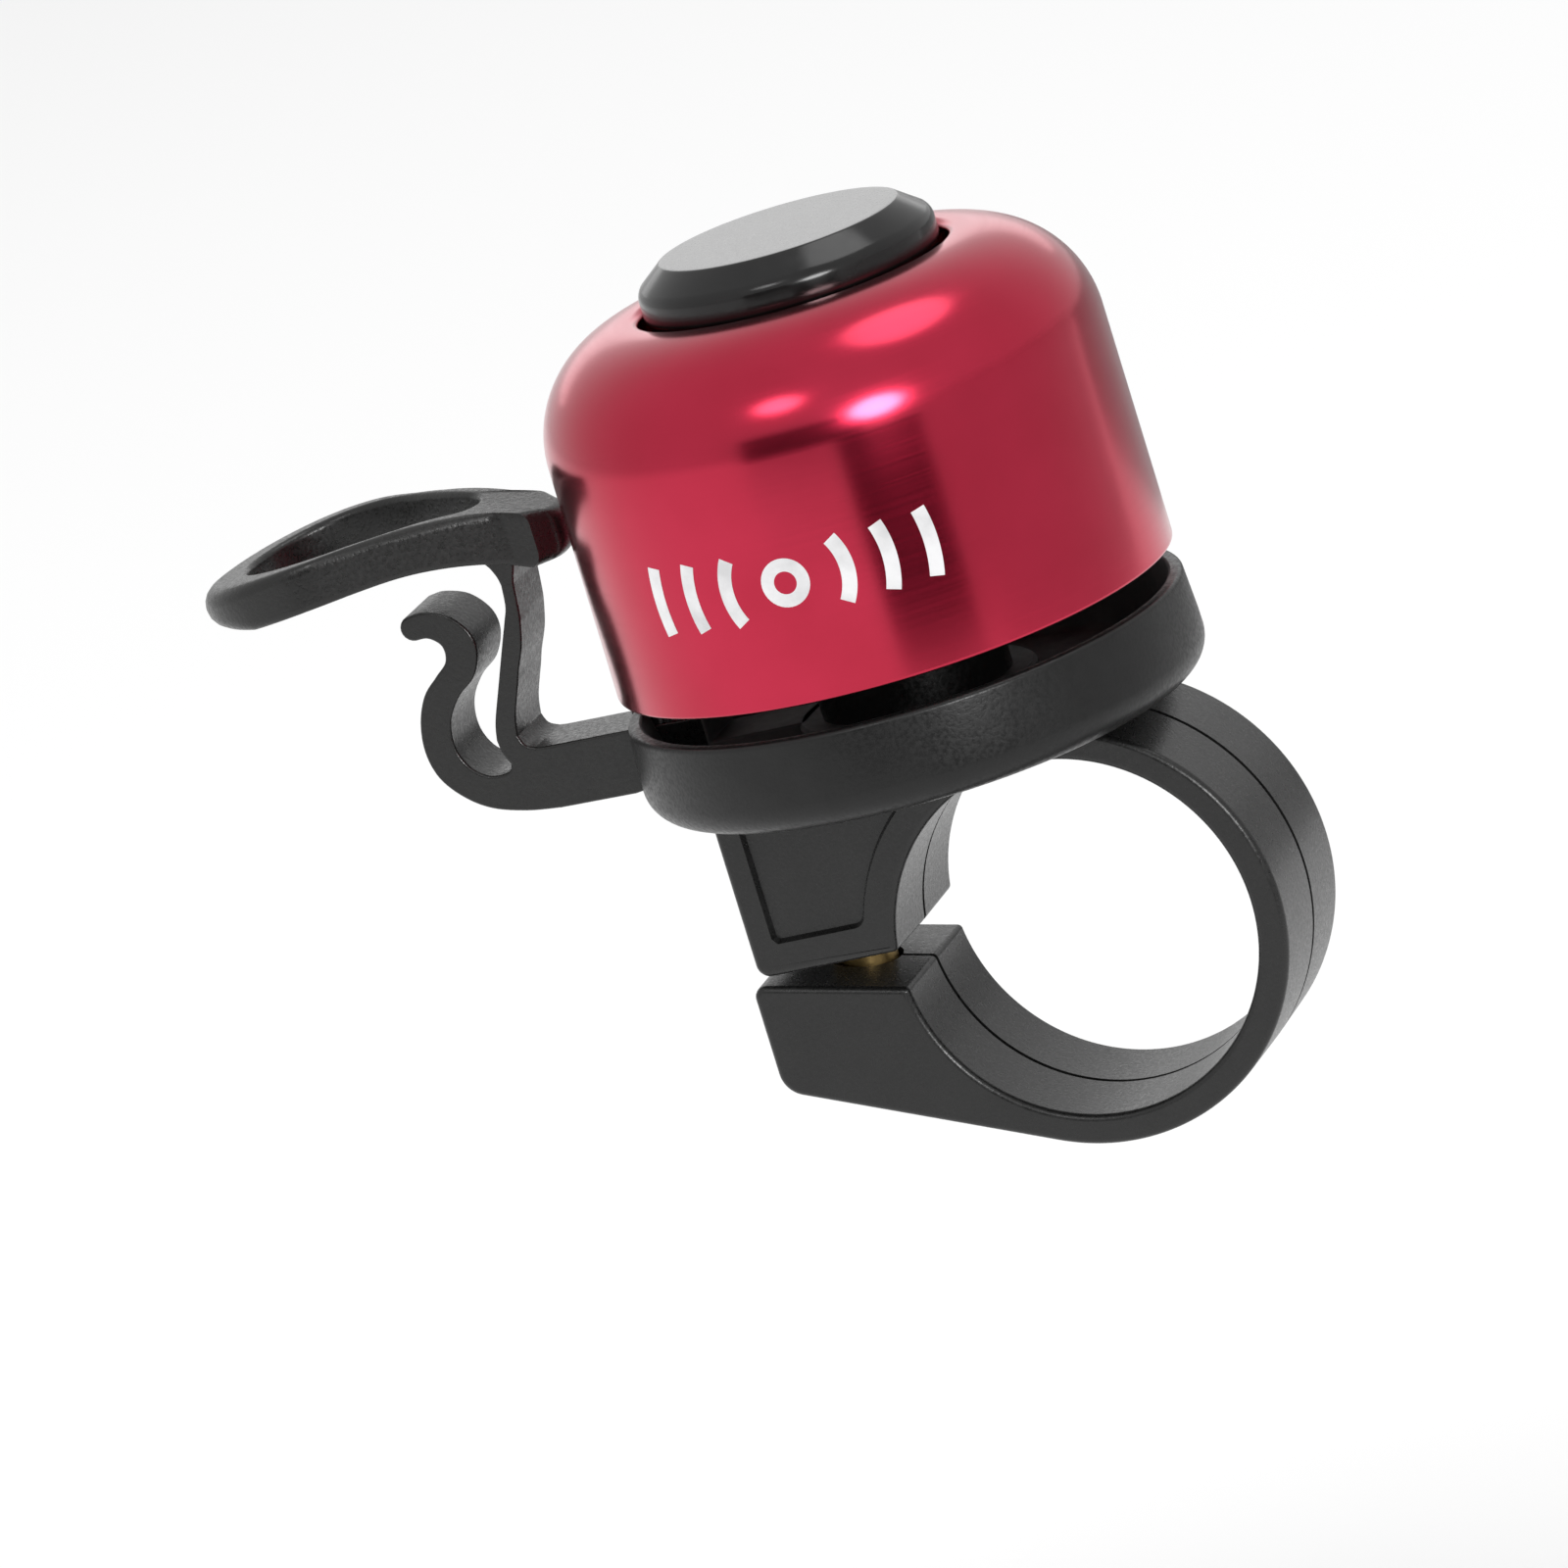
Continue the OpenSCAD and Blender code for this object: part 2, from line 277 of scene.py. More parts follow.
def evaluated(obj):
    """Replaces an object's mesh by what its modifiers make of it."""
    depsgraph = bpy.context.evaluated_depsgraph_get()
    mesh = bpy.data.meshes.new_from_object(obj.evaluated_get(depsgraph))
    obj.modifiers.clear()
    obj.data = mesh


def combine(obj, tool, operation):
    """Boolean of two solids; the tool is used up."""
    obj.modifiers.clear()
    boolean = obj.modifiers.new("boolean", "BOOLEAN")
    boolean.object = tool
    boolean.operation = operation
    boolean.solver = "EXACT"
    evaluated(obj)
    bpy.data.objects.remove(tool)
    crease(obj)
    flatten_normals(obj)


def drill(obj, x, radius, low, high):
    """Cuts a round vertical hole."""
    tool = lathe("drill", [(0, low), (radius, low), (radius, high), (0, high)], x, 64)
    combine(obj, tool, "DIFFERENCE")


def place(obj, body, slot, *nodes):
    """Rides on a body and stands for the CAD nodes; the slot is not used."""
    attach(obj, body)
    if nodes:
        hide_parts(*nodes)


# ---- materials ----

def shader(name):
    """A new material, with its node tree and its Principled shader."""
    material = bpy.data.materials.new(name)
    material.use_nodes = True
    tree = material.node_tree
    return material, tree, tree.nodes["Principled BSDF"]


def noise(tree, scale, detail=2.0, stretch=(1, 1, 1)):
    """A noise texture in object coordinates; scale is in features per millimetre."""
    coordinates = tree.nodes.new("ShaderNodeTexCoord")
    mapping = tree.nodes.new("ShaderNodeMapping")
    mapping.inputs["Scale"].default_value = stretch
    texture = tree.nodes.new("ShaderNodeTexNoise")
    texture.inputs["Scale"].default_value = scale / MM
    texture.inputs["Detail"].default_value = detail
    tree.links.new(coordinates.outputs["Object"], mapping.inputs["Vector"])
    tree.links.new(mapping.outputs["Vector"], texture.inputs["Vector"])
    return texture.outputs["Fac"]


def ramp(tree, value, low, high):
    """Maps a texture value from its usual middle range to a colour or number range."""
    node = tree.nodes.new("ShaderNodeMix")
    is_colour = isinstance(low, tuple)
    node.data_type = "RGBA" if is_colour else "FLOAT"
    inputs = [s for s in node.inputs if s.enabled]
    clamp = tree.nodes.new("ShaderNodeMapRange")
    clamp.inputs["From Min"].default_value = 0.35
    clamp.inputs["From Max"].default_value = 0.65
    tree.links.new(value, clamp.inputs["Value"])
    tree.links.new(clamp.outputs["Result"], inputs[0])
    inputs[1].default_value = low + (1,) if is_colour else low
    inputs[2].default_value = high + (1,) if is_colour else high
    return next(s for s in node.outputs if s.enabled)


def bump(tree, bsdf, height, distance):
    """Bump from a texture value, with its full height in millimetres."""
    node = tree.nodes.new("ShaderNodeBump")
    node.inputs["Distance"].default_value = distance * MM
    tree.links.new(height, node.inputs["Height"])
    tree.links.new(node.outputs["Normal"], bsdf.inputs["Normal"])


def plastic(name, tone, roughness, grain, depth, specular=0.25, spread=0.06, haze=0.0):
    """Moulded plastic: fine grain in bump and roughness, a faint mottle, and a haze over the surface."""
    material, tree, bsdf = shader(name)
    bsdf.inputs["Specular IOR Level"].default_value = specular
    bsdf.inputs["Sheen Weight"].default_value = haze
    fine = noise(tree, grain, 3)
    coarse = noise(tree, 0.35, 4)
    dark = tuple(c * 0.85 for c in tone)
    light = tuple(c * 1.15 for c in tone)
    tree.links.new(ramp(tree, coarse, dark, light), bsdf.inputs["Base Color"])
    tree.links.new(ramp(tree, fine, roughness - spread, roughness + spread), bsdf.inputs["Roughness"])
    bump(tree, bsdf, fine, depth)
    return material


def anodised(name, dark, light, roughness):
    """Dyed aluminium: spun lines round the axis show faintly in the gloss."""
    material, tree, bsdf = shader(name)
    bsdf.inputs["Metallic"].default_value = 1.0
    spun = noise(tree, 2.0, 3, (0.02, 0.02, 4))
    cloud = noise(tree, 0.12, 3)
    tree.links.new(ramp(tree, cloud, dark, light), bsdf.inputs["Base Color"])
    tree.links.new(ramp(tree, spun, roughness - 0.015, roughness + 0.015), bsdf.inputs["Roughness"])
    bump(tree, bsdf, spun, 0.0002)
    bsdf.inputs["Coat Weight"].default_value = 0.45
    bsdf.inputs["Coat Roughness"].default_value = 0.16
    return material


def metal(name, tone, roughness):
    """Plated steel or brass with fine turning marks and small stains."""
    material, tree, bsdf = shader(name)
    bsdf.inputs["Metallic"].default_value = 1.0
    marks = noise(tree, 6, 2, (1, 1, 5))
    stain = noise(tree, 0.8, 4)
    tree.links.new(ramp(tree, stain, tuple(c * 0.8 for c in tone), tone), bsdf.inputs["Base Color"])
    tree.links.new(ramp(tree, marks, roughness - 0.08, roughness + 0.08), bsdf.inputs["Roughness"])
    bump(tree, bsdf, marks, 0.004)
    return material


RED = anodised("anodised red", (0.50, 0.014, 0.048), (0.55, 0.018, 0.058), 0.2)
GLOSS = plastic("cap gloss", (0.010, 0.010, 0.010), 0.18, 1.2, 0.001, 0.4, 0.03)
CAP_FACE = plastic("cap face", (0.02, 0.02, 0.02), 0.32, 6, 0.003, 1.0)
cap_face_shader = CAP_FACE.node_tree.nodes["Principled BSDF"]
cap_face_shader.inputs["Coat Weight"].default_value = 1.0
cap_face_shader.inputs["Coat Roughness"].default_value = 0.3
SATIN = plastic("dish satin", (0.010, 0.010, 0.010), 0.36, 4, 0.014, 0.35, 0.08)
GRAIN = plastic("arm grain", (0.008, 0.008, 0.0076), 0.32, 4, 0.022, 0.5, 0.08, 0.04)
# ten times lighter than the satin dish and the grain arm outside: painted light that lifts the shade under
# the dome's rim
PAINTED_LIGHT_INSIDE = plastic("dish inside painted light", (0.1, 0.095, 0.095), 0.6, 2, 0.004, 0.12, 0.05)
CLAMP = plastic("clamp grain", (0.009, 0.009, 0.0088), 0.32, 5, 0.014, 0.5, 0.06, 0.04)
RUBBER = plastic("rubber", (0.02, 0.02, 0.02), 0.8, 3, 0.01)
PRINT = plastic("white print", (0.92, 0.92, 0.93), 0.6, 4, 0.001)
# yellow zinc toned darker than the plating, so the screw, nut and washer in the clamp's gap look shaded:
# painted shade
SHADED_ZINC = metal("yellow zinc painted shade", (0.36, 0.25, 0.1), 0.4)
STEEL = metal("bright zinc", (0.6, 0.61, 0.63), 0.28)
BRASS = metal("brass", (0.65, 0.45, 0.18), 0.3)


def paint(obj, material):
    """Gives the whole object one material."""
    obj.data.materials.clear()
    obj.data.materials.append(material)


def paint_light_inside(obj, is_inside):
    """Gives a lighter grey to the faces whose centre passes the test: painted light that lifts the shade
    inside the dish.
    """
    obj.data.materials.append(PAINTED_LIGHT_INSIDE)
    for face in obj.data.polygons:
        if is_inside(face.center):
            face.material_index = 1


# ---- dome and cap ----

PRINT_PLACE = (-88, 28)       # angle round the bell and height of the middle of the print


def bell_dome():
    """Straight wall, round shoulder, flat crown and a recess for the cap, all one wall thick."""
    wall = 1.2
    recess_r = 9.7
    lip = 0.5
    edge = 0.25
    corner = 0.4
    inner_corner = 0.8
    hole_r = 2.3
    profile = arc((RIM_R - edge, RIM_Z + edge), edge, -90, 0, 5)
    profile += arc((SHOULDER_X, SHOULDER_Z), SHOULDER_R, 0, 90, 40)
    profile += arc((recess_r + lip, CROWN_Z - lip), lip, 90, 180, 8)
    profile += arc((recess_r - corner, RECESS_Z + corner), corner, 0, -90, 5)
    profile += [(hole_r, RECESS_Z), (hole_r, RECESS_Z - wall)]
    profile += arc((recess_r + wall - inner_corner, RECESS_Z - wall + inner_corner), inner_corner, -90, 0, 5)
    profile += arc((SHOULDER_X, SHOULDER_Z), SHOULDER_R - wall, 88, 0, 30)
    profile += arc((RIM_R - wall + edge, RIM_Z + edge), edge, 180, 270, 4)
    obj = lathe("dome_shell", profile, segments=256)
    paint(obj, RED)
    place(obj, "bell", "dome_red", "bell_dome")


def printed_stroke(name, middle, height, radius, width, start, end, count):
    """A stroke of paint on the dome's wall: part of a ring round a point (angle round the bell, height)."""
    proud, sunk = 0.03, -0.05     # the paint's face and its hidden back, measured from the wall
    is_ring = end - start == 360
    sections = []
    for i in range(count):
        a = math.radians(start + (end - start) * i / (count if is_ring else count - 1))
        section = []
        for r, lift in ((radius, proud), (radius + width, proud), (radius + width, sunk), (radius, sunk)):
            z = height + r * math.sin(a)
            wall_r = RIM_R - WALL_DRAFT * (z - RIM_Z) / (SHOULDER_Z - RIM_Z) + lift
            turn = math.radians(middle) + r * math.cos(a) / RIM_R
            section.append((BELL_X + wall_r * math.cos(turn), wall_r * math.sin(turn), z))
        sections.append(section)
    obj = loop(name, sections) if is_ring else chain(name, sections)
    paint(obj, PRINT)
    place(obj, "bell", "dome_red")


def wall_print():
    """A plain ringing-bell sign in white: a ring between three pairs of arcs."""
    middle, height = PRINT_PLACE
    width = 0.9
    half_height = 2.2
    printed_stroke("print_ring", middle, height, 0.7, 0.8, 0, 360, 40)
    for i, radius in enumerate((3.4, 6.0, 8.6)):
        spread = math.degrees(math.asin(half_height / (radius + width)))
        printed_stroke(f"print_arc_right_{i}", middle, height, radius, width, -spread, spread, 24)
        printed_stroke(f"print_arc_left_{i}", middle, height, radius, width, 180 - spread, 180 + spread, 24)


def top_cap():
    """Gloss cap with a matte top face, a round bevel and a skirt that goes down into the recess."""
    top = CAP_HIGH[2]
    shell = top - 1.4
    skirt = CAP_R - 0.3
    skirt_wall = 1.5
    foot = RECESS_Z + 0.02
    flat_r = 7.65
    edge = 0.35
    shoulder = 1.1
    profile = [(0, shell), (skirt - skirt_wall, shell), (skirt - skirt_wall, foot), (skirt, foot)]
    profile += [(skirt, top - 3.2)]
    profile += arc((CAP_R - edge, top - 2.9), edge, -70, 0, 5)
    profile += arc((CAP_R - shoulder, top - 1.9), shoulder, 0, 44, 10)
    profile += arc((flat_r - 0.3, top - edge), edge, 44, 90, 5)
    profile += [(flat_r - 0.6, top), (0, top)]
    obj = lathe("cap_shell", profile, segments=192)
    paint(obj, GLOSS)
    obj.data.materials.append(CAP_FACE)
    for face in obj.data.polygons:
        if face.center.z > (top - 0.02) * MM:
            face.material_index = 1
    place(obj, "bell", "cap_plastic", "top_cap")


# ---- base ----

def base_dish():
    """Shallow dish with a thin lip, a sloped inner wall and a rounded foot; the post stands in its hole."""
    wall_r = DISH_R + DISH_DRAFT
    foot = 2.0
    lip = 0.3
    lip_inner = 0.2
    corner = 0.6
    hole_r = POST_R + 0.05
    flat_rings = (hole_r, 8, 14)  # the bottom's shading stays flat up to the last of these
    profile = [(hole_r, FLOOR_Z)] + [(r, DISH_BOTTOM) for r in flat_rings]
    profile += arc((wall_r - foot, DISH_BOTTOM + foot), foot, 270, 360, 14)
    profile += [(wall_r - 0.03, DISH_BOTTOM + 3)]
    profile += arc((DISH_R - lip, DISH_TOP - lip), lip, 0, 90, 6)
    profile += arc((DISH_R - 0.75, DISH_TOP - lip_inner), lip_inner, 90, 165, 4)
    profile += [(DISH_R - 1.3, DISH_TOP - 1.8), (DISH_R - 2, FLOOR_Z + corner)]
    profile += arc((DISH_R - 2 - corner, FLOOR_Z + corner), corner, 0, -90, 5)
    obj = lathe("dish_shell", profile, segments=192)
    paint(obj, SATIN)
    inner = (DISH_R - 0.7) * MM
    above = (DISH_BOTTOM + 0.5) * MM
    # the inside of the dish gets a lighter grey than its outside: painted light in the shade under the dome
    paint_light_inside(obj, lambda c: math.hypot(c.x - BELL_X * MM, c.y) < inner and c.z > above)
    place(obj, "bell", "dish_plastic", "base_dish")


# ---- striker ----

STRIKER_EDGE = 0.18           # rounding of the long edges of the arm, the leaf and the lever's web
ROOT_T = 2                    # thickness of the arm where it is hidden in the dish
STUB_Z = LEAF_FOOT + 1.1      # the leaf's foot belongs to the arm up to here
LEAF_LEFT = [(-33.8, STUB_Z), (-33.5, 19.8), (-32.6, 21.95), (-31.6, 24.3), (-30.95, 25.8),
             (-30.6, 26.7), (-30.45, LEAF_TOP)]
LEAF_RIGHT = [(-32.35, STUB_Z), (-32.1, 19.85), (-31.35, 21.7), (-31.0, 22.6), (-30.35, 24.0),
              (-29.95, 25.4), (-29.8, 26.2), (-29.6, LEAF_TOP)]
HOOK_OUTSIDE = [(-36.9, 25.8), (-36.1, 25.75), (-35.4, 25.1), (-35.5, 24.1), (-36.4, 23.3),
                (-37.5, 22.3), (-38.3, 20.7), (-38.6, 18.8), (-38.2, 17.0), (-37.0, 15.5),
                (-35.4, 14.45), (-33.2, 13.85), (-31.0, 13.6)]
HOOK_INSIDE = [(-33.35, 16.95), (-33.65, 16.5), (-34.9, 16.5), (-36.0, 17.3), (-36.55, 18.7),
               (-36.3, 20.4), (-35.3, 21.8), (-34.0, 22.8), (-33.25, 24.3), (-33.4, 25.7),
               (-34.5, 26.95), (-36.0, 27.45), (-36.9, 27.4)]


def striker_arm():
    """Bar and hook in one outline, with the foot of the leaf and its fillets, and the root in the dish."""
    wall_x = -24.4                # the bar is inside the dish from here on
    root_x = BELL_X - 13
    bar_top = 17.45
    outline = arc((-36.9, 26.6), 0.8, 90, 270, 10) + smooth(HOOK_OUTSIDE, 6)
    outline += [(-26, 13.5), (wall_x, FLOOR_Z), (root_x, FLOOR_Z), (root_x, bar_top), (-30.9, 17.6)]
    outline += smooth([(-31.4, 17.65), (-32.05, 17.95), LEAF_RIGHT[0]], 5)
    outline += smooth([LEAF_LEFT[0], (-33.7, 17.8), HOOK_INSIDE[0]], 4) + smooth(HOOK_INSIDE, 6)
    obj = slab("arm_body", outline, edge_stations(ARM_HALF, STRIKER_EDGE), (LEAF_LEFT[0], LEAF_RIGHT[0]))
    paint(obj, GRAIN)
    # the bar's part inside the dish gets a lighter grey than the rest of the arm: painted light in the dish's
    # shade
    paint_light_inside(obj, lambda c: c.x > wall_x * MM)
    place(obj, "bell", "arm_plastic", "striker_arm")
    arm_root_ring()
    arm_key()
    arm_root_web(root_x)


def arm_root_ring():
    """Ring that holds the arm round the post, inside the dish."""
    ring_r = 7.5
    bevel = 0.2
    hole_r = POST_R + 0.05
    top = FLOOR_Z + ROOT_T
    profile = [(hole_r, FLOOR_Z), (ring_r, FLOOR_Z), (ring_r, top - bevel)]
    profile += [(ring_r - bevel, top), (hole_r, top)]
    ring = lathe("arm_root_ring", profile, segments=96)
    # the ring is lighter grey than the arm it belongs to: painted light in the dish's shade
    paint(ring, PAINTED_LIGHT_INSIDE)
    place(ring, "bell", "arm_plastic")


def arm_key():
    """Small block on the bar that fills the notch in the dish's lip."""
    left = BELL_X - DISH_R
    right = left + 1.9
    bottom = DISH_TOP - 3
    outline = [(left - 0.04, bottom), (right, bottom), (right, DISH_TOP), (right - 0.4, DISH_TOP + 0.4),
               (left + 0.4, DISH_TOP + 0.35), (left, DISH_TOP)]
    key = slab("arm_key", outline, edge_stations(ARM_HALF - 0.1, 0.35), sharp=50)
    paint(key, GRAIN)
    place(key, "bell", "arm_plastic")


def arm_root_web(root_x):
    """Web on the dish's floor, between the bar and the ring."""
    left, right = root_x - 0.5, BELL_X - 6.8
    top = FLOOR_Z + ROOT_T
    web = slab("arm_root_web", [(left, FLOOR_Z), (right, FLOOR_Z), (right, top), (left, top)],
               edge_stations(ARM_HALF - 0.05, 0.15))
    # the web is lighter grey than the arm it belongs to: painted light in the dish's shade
    paint(web, PAINTED_LIGHT_INSIDE)
    place(web, "bell", "arm_plastic")


def leaf_spring():
    """Thin leaf between the arm and the lever."""
    outline = list(reversed(smooth(LEAF_LEFT, 8))) + smooth(LEAF_RIGHT, 8)
    ends = (LEAF_LEFT[0], LEAF_RIGHT[0], LEAF_LEFT[-1], LEAF_RIGHT[-1])
    obj = slab("leaf_body", outline, edge_stations(ARM_HALF, STRIKER_EDGE), ends)
    paint(obj, GRAIN)
    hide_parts("leaf_spring")
    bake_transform(obj)


NOSE_X = LEVER_HIGH[0]


def lever_top(x):
    """Height of the lever's top: a flat arch that falls faster towards the hammer head."""
    return 33.25 - (0.0075 if x < -35.5 else 0.0175) * (x + 35.5) ** 2


def lever_bottom(x):
    """Height of the lever's underside: the ring ends level and the head is thick."""
    return 30.4 - (0.01 if x < -36 else 0.027) * (min(max(x, -45), -28) + 36) ** 2


def eased(x, low, high, first, last):
    """A value that goes smoothly from first to last as x goes from low to high."""
    t = min(max((x - low) / (high - low), 0), 1)
    return first + (last - first) * t * t * (3 - 2 * t)


def drop(big_x, big_r, small_x, small_r, end=None):
    """A drop seen from above: large round end, straight sides, and a small round end or the given points."""
    lean = math.degrees(math.acos((big_r - small_r) / (small_x - big_x)))
    big = arc((big_x, 0), big_r, lean, 360 - lean, 96)
    small = end or arc((small_x, 0), small_r, -lean, lean, 40)
    start, stop = Vector(big[-1]), Vector(small[0])
    straight = [tuple(start.lerp(stop, i / 20)) for i in range(1, 20)]
    return big + straight + small + [(x, -y) for x, y in reversed(straight)]


def nose_outline():
    """The hammer head seen from above, in 41 points: sides, bevels and a round nose."""
    bevel = 1.0
    bulge = 0.5
    corner_x = NOSE_X - bevel - bulge
    half = [(-29.2, -ARM_HALF), (corner_x, -ARM_HALF), (corner_x + bevel, -ARM_HALF + bevel)]
    points = []
    for start, stop in zip(half, half[1:]):
        points += [tuple(Vector(start).lerp(Vector(stop), i / 6)) for i in range(6)]
    rise = ARM_HALF - bevel
    for i in range(9):
        a = math.radians(90 * i / 8)
        points.append((NOSE_X - bulge * (1 - math.sin(a)), -rise * math.cos(a)))
    return points + [(x, -y) for x, y in reversed(points[:-1])]


def lever_section(inner, outer):
    """Section of the lever from an inner to an outer point: four rounded edges, each with its own radius."""
    steps = 4
    a, b = Vector(inner), Vector(outer)
    width = (b - a).length
    top_out = min(eased(b.x, -49, -40, 1.0, 0.65), 0.5 * width)
    low_out = min(eased(b.x, -49, -42, 1.05, 0.4), 0.6 * width)
    if b.x > -30:
        low_out = eased(b.x, -30, NOSE_X, 0.4, 1.1)
    top_in = min(0.45, 0.35 * width)
    low_in = 0.3

    def corner(side, radius, from_top, first):
        """One rounded edge: outer (1) or inner (-1), top or bottom, and in which order its points run."""
        angles = [math.radians(90 * i / steps) for i in range(steps + 1)]
        points = []
        for t in (angles if first else reversed(angles)):
            reach = radius * (1 - math.sin(t))
            p = b + (a - b) * reach / width if side > 0 else a + (b - a) * reach / width
            lift = radius * (1 - math.cos(t))
            points.append((p.x, p.y, lever_top(p.x) - lift if from_top else lever_bottom(p.x) + lift))
        return points

    return (corner(1, low_out, False, True) + corner(1, top_out, True, False)
            + corner(-1, top_in, True, True) + corner(-1, low_in, False, False))


def thumb_lever():
    """Finger ring and hammer head as one closed loop of sections, and the web that carries it on the leaf."""
    hole_x, hole_r = -40.9, 5.85
    hole_tip_x, hole_tip_r = -34.2, 2.8
    outer = drop(RING_X, RING_R, -29, ARM_HALF, nose_outline())
    inner = drop(hole_x, hole_r, hole_tip_x, hole_tip_r)
    obj = loop("lever_body", [lever_section(p, q) for p, q in zip(inner, outer)])
    flatten_normals(obj)
    paint(obj, GRAIN)
    place(obj, "lever", "arm_plastic", "thumb_lever")
    outline = smooth([(-32.2, 30.2), (-31.1, 29.55), (-30.6, 28.7), LEAF_LEFT[-1]], 6)
    outline += [LEAF_RIGHT[-1], (-29.5, 28.4), (-29.2, 29.2), (-29.2, 30.4)]
    stations = edge_stations(ARM_HALF - 0.02, STRIKER_EDGE)
    web = slab("lever_web", outline, stations, (LEAF_LEFT[-1], LEAF_RIGHT[-1]))
    paint(web, GRAIN)
    place(web, "lever", "arm_plastic")


# ---- clamp ----

SEAM_ANGLE = 18               # the jaw's piece takes in the thin far side of the band up to here
END_R = 0.4                   # rounding where the clamp's opening meets the bore
CLAMP_EDGE = 0.42             # rounding of the clamp's long edges
CLAMP_DRAFT = 0.05            # how far its sides lean in from the parting line to the edges
GROOVE_HALF = 0.19            # half width of the groove at the parting line
SEAM = [arc((0, 0), r, SEAM_ANGLE, SEAM_ANGLE, 1)[0] for r in (BORE_R, BAND_R)]


def clamp_stations():
    """Stations across the clamp, the same for both of its pieces."""
    return edge_stations(CLAMP_HALF, CLAMP_EDGE, CLAMP_DRAFT, GROOVE_HALF)


def panel_tool(side):
    """Tapered block that sinks the panel into one side of the leg."""
    depth = 0.45
    outline = [(-18.8, 14), (-18.8, 3.8), (-18.5, 3.4), (-13.6, 3.4)]
    outline += arc((-13.4, 4.2), 0.8, 270, 320, 4)
    outline += arc((0, 0), BAND_R - 0.02, 163, 108, 30) + [(-4.1, 14)]
    flare = 0.2
    stations = [(CLAMP_HALF - depth, flare), (CLAMP_HALF, 0.0), (CLAMP_HALF + 1, 0.0)]
    return slab("panel_tool", outline, [(side * y, d) for y, d in stations])


def clamp_bracket():
    """Leg and upper half of the band, and the post that carries the dome."""
    toe = 1.35                    # height of the leg's flat end above the bore's centre
    toe_r = 0.9
    into_dish = DISH_BOTTOM + 0.6
    screw_hole_r = 2.2
    post_hole_r = 3
    post_bevel = 0.4
    end = math.degrees(math.asin((toe + END_R) / (BORE_R + END_R)))
    end_centre = arc((0, 0), BORE_R + END_R, 180 - end, 180 - end, 1)[0]
    outline = [(LEG_X, into_dish), (LEG_X, 8), (LEG_X, 4)]
    outline += arc((LEG_X + toe_r, toe + toe_r), toe_r, 180, 270, 8)
    outline += arc(end_centre, END_R, 270, 360 - end, 5) + arc((0, 0), BORE_R, 180 - end, SEAM_ANGLE, 90)
    outline += arc((0, 0), BAND_R, SEAM_ANGLE, 111, 60) + [(-5.2, into_dish)]
    obj = slab("bracket_body", outline, clamp_stations(), SEAM)
    for side in (-1, 1):
        combine(obj, panel_tool(side), "DIFFERENCE")
    drill(obj, SCREW_X, screw_hole_r, -2, DISH_BOTTOM + 3)
    paint(obj, CLAMP)
    place(obj, "bell", "clamp_plastic", "clamp_bracket")
    profile = [(post_hole_r, DISH_BOTTOM), (POST_R, DISH_BOTTOM), (POST_R, POST_TOP - post_bevel)]
    profile += [(POST_R - post_bevel, POST_TOP), (post_hole_r, POST_TOP)]
    post = lathe("bracket_post", profile, segments=96)
    paint(post, CLAMP)
    place(post, "bell", "clamp_plastic")


def clamp_jaw():
    """Lug, lower half of the band and the thin far side of the band."""
    bore_end = 186.3              # angle round the bore where the jaw's opening starts
    tangent = 248.5               # angle round the bore where the straight underside joins the band
    top_r = 0.8
    belly_r = 1.77
    screw_hole_r = 2.3
    washer_hole_r = 4.5
    seam = 360 + SEAM_ANGLE
    outline = arc((-11.58, -1.25), END_R, 6, 78, 5) + arc((LUG_X + top_r, 0.15), top_r, 78, 175, 8)
    outline += arc((-19.35, -4.75), belly_r, 178, tangent, 12)
    outline += arc((0, 0), BAND_R, tangent, seam, 90) + arc((0, 0), BORE_R, seam, bore_end, 110)
    obj = slab("jaw_body", outline, clamp_stations(), SEAM)
    drill(obj, SCREW_X, screw_hole_r, -6, 3)
    drill(obj, SCREW_X, washer_hole_r, -12, -3.15)
    paint(obj, CLAMP)
    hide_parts("clamp_jaw", "band_flexure")
    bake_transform(obj)


bell_dome()
wall_print()
top_cap()
base_dish()
striker_arm()
leaf_spring()
thumb_lever()
clamp_bracket()
clamp_jaw()
# the clamp's nut, washer and screw take the darkened zinc: painted shade
for node, material in (("clamp_nut", SHADED_ZINC), ("clamp_washer", SHADED_ZINC), ("clamp_screw", SHADED_ZINC),
                       ("post_insert", BRASS), ("dome_spacer", SATIN), ("isolating_washer", RUBBER),
                       ("crown_washer", STEEL), ("spring_washer", STEEL), ("dome_screw", STEEL)):
    paint(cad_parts[node], material)


# ---- camera, floor and light ----

def view_axes(azimuth, elevation, roll):
    """Right, up and backward direction of a camera that looks at the bell, rolled about its own axis."""
    a, e, r = (math.radians(v) for v in (azimuth, elevation, roll))
    back = Vector((math.sin(a) * math.cos(e), -math.cos(a) * math.cos(e), math.sin(e)))
    right = Vector((math.cos(a), math.sin(a), 0))
    up = back.cross(right)
    return right * math.cos(r) - up * math.sin(r), right * math.sin(r) + up * math.cos(r), back


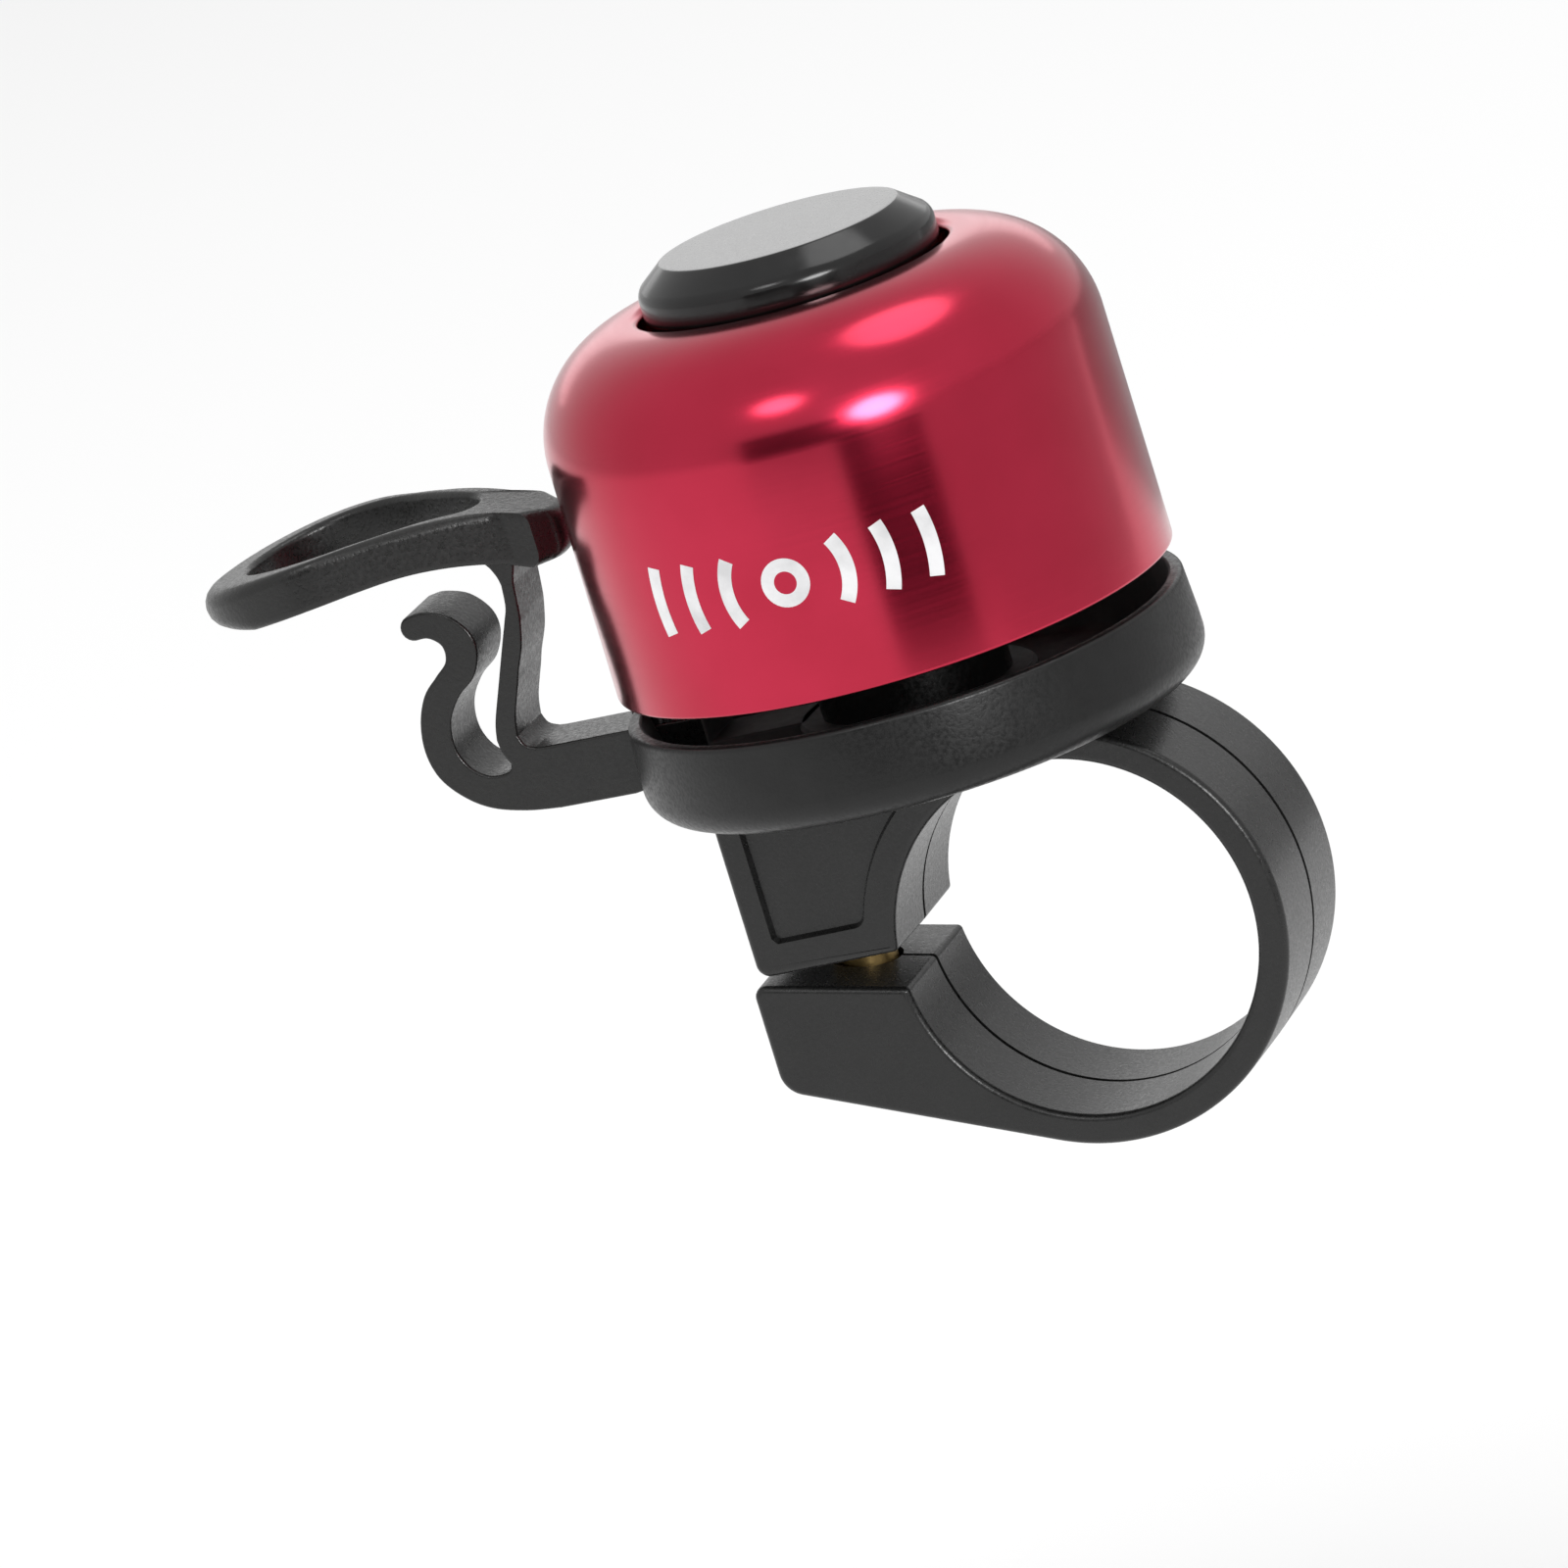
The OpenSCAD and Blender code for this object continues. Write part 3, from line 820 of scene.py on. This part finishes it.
def camera():
    """The photograph's view: a long lens, a little above the rim, with the bell leaning to the left."""
    right, up, back = view_axes(21.69, 13.47, 17.14)
    distance = 609.2
    shift_right, shift_up = 6.72, 10.23
    rim_centre = Vector((BELL_X, 0, RIM_Z))
    data = bpy.data.cameras.new("camera")
    data.lens = 231.3
    data.sensor_width = 36
    data.clip_start = 0.01
    data.clip_end = 20
    obj = bpy.data.objects.new("camera", data)
    bpy.context.scene.collection.objects.link(obj)
    rotation = Matrix((right, up, back)).transposed().to_4x4()
    place_mm = rim_centre + back * distance - right * shift_right - up * shift_up
    obj.matrix_world = Matrix.Translation(place_mm * MM) @ rotation
    bpy.context.scene.camera = obj


def show_only_in_gloss(obj):
    """Keeps a light or a card out of sight: it shows only where something shiny reflects it."""
    obj.visible_camera = False
    obj.visible_diffuse = False
    obj.visible_shadow = False


def area_light(name, azimuth, elevation, distance, size, radiance):
    """A soft box, oval, that faces the dome's shoulder from an angle round it and above it."""
    target = Vector((BELL_X, 0, SHOULDER_Z))
    a, e = math.radians(azimuth), math.radians(elevation)
    away = Vector((math.cos(a) * math.cos(e), math.sin(a) * math.cos(e), math.sin(e)))
    data = bpy.data.lights.new(name, "AREA")
    data.shape = "ELLIPSE"
    data.size, data.size_y = (s * MM for s in size)
    area = math.pi / 4 * data.size * data.size_y
    data.energy = radiance * math.pi * area
    obj = bpy.data.objects.new(name, data)
    obj.location = (target + away * distance) * MM
    obj.rotation_euler = (-away).to_track_quat("-Z", "Y").to_euler()
    bpy.context.scene.collection.objects.link(obj)
    return obj


def card(name, azimuth, distance, width, low, high, tone):
    """An upright card, dark or grey, that faces the bell and shows only as a reflection in its wall."""
    a = math.radians(azimuth)
    away = Vector((math.cos(a), math.sin(a), 0))
    along = Vector((-math.sin(a), math.cos(a), 0)) * width / 2
    middle = Vector((BELL_X, 0, 0)) + away * distance
    places = ((-1, low), (1, low), (1, high), (-1, high))
    corners = [middle + side * along + Vector((0, 0, z)) for side, z in places]
    mesh = bpy.data.meshes.new(name)
    mesh.from_pydata([tuple(c * MM) for c in corners], [], [(0, 1, 2, 3)])
    obj = bpy.data.objects.new(name, mesh)
    bpy.context.scene.collection.objects.link(obj)
    material, _, bsdf = shader(name)
    bsdf.inputs["Base Color"].default_value = (tone, tone, tone, 1)
    bsdf.inputs["Specular IOR Level"].default_value = 0
    obj.data.materials.append(material)
    show_only_in_gloss(obj)


def floor():
    """Plain pale floor, well below the clamp."""
    gap = 0.045                   # metres, as is the reach
    reach = 6.0
    height = cad_bounds[0][2] - gap
    mesh = bpy.data.meshes.new("floor")
    corners = [(x * reach, y * reach, height) for x, y in ((-1, -1), (1, -1), (1, 1), (-1, 1))]
    mesh.from_pydata(corners, [], [(0, 1, 2, 3)])
    obj = bpy.data.objects.new("floor", mesh)
    bpy.context.scene.collection.objects.link(obj)
    material, _, bsdf = shader("floor white")
    bsdf.inputs["Base Color"].default_value = (0.92, 0.92, 0.92, 1)
    bsdf.inputs["Roughness"].default_value = 0.9
    bsdf.inputs["Specular IOR Level"].default_value = 0
    obj.data.materials.append(material)


def studio():
    """Pale surroundings, a light overhead, soft boxes for highlights, and cards for the wall to reflect."""
    world = bpy.data.worlds.new("studio")
    world.use_nodes = True
    background = world.node_tree.nodes["Background"]
    background.inputs["Color"].default_value = (1, 1, 1, 1)
    background.inputs["Strength"].default_value = 0.72
    bpy.context.scene.world = world
    overhead = area_light("overhead", 0, 90, 1500, (1600, 1600), 2.0)
    overhead.visible_glossy = False
    show_only_in_gloss(area_light("back box", 112, 13, 600, (700, 130), 0.6))
    show_only_in_gloss(area_light("small box", -53, 10, 300, (110, 90), 18))
    show_only_in_gloss(area_light("large box", 16, 68, 500, (330, 260), 2.2))
    show_only_in_gloss(area_light("middle box", -92, 36, 400, (120, 90), 5))
    card("dark card", -55, 200, 120, -50, 8, 0.04)
    card("dark strip", -84, 300, 270, -14, 100, 0.1)
    card("grey card", 0, 190, 410, -57, 50, 0.66)
    card("side card", 78, 330, 330, -60, 40, 0.4)


camera()
floor()
studio()
bpy.context.scene.view_settings.view_transform = "Standard"
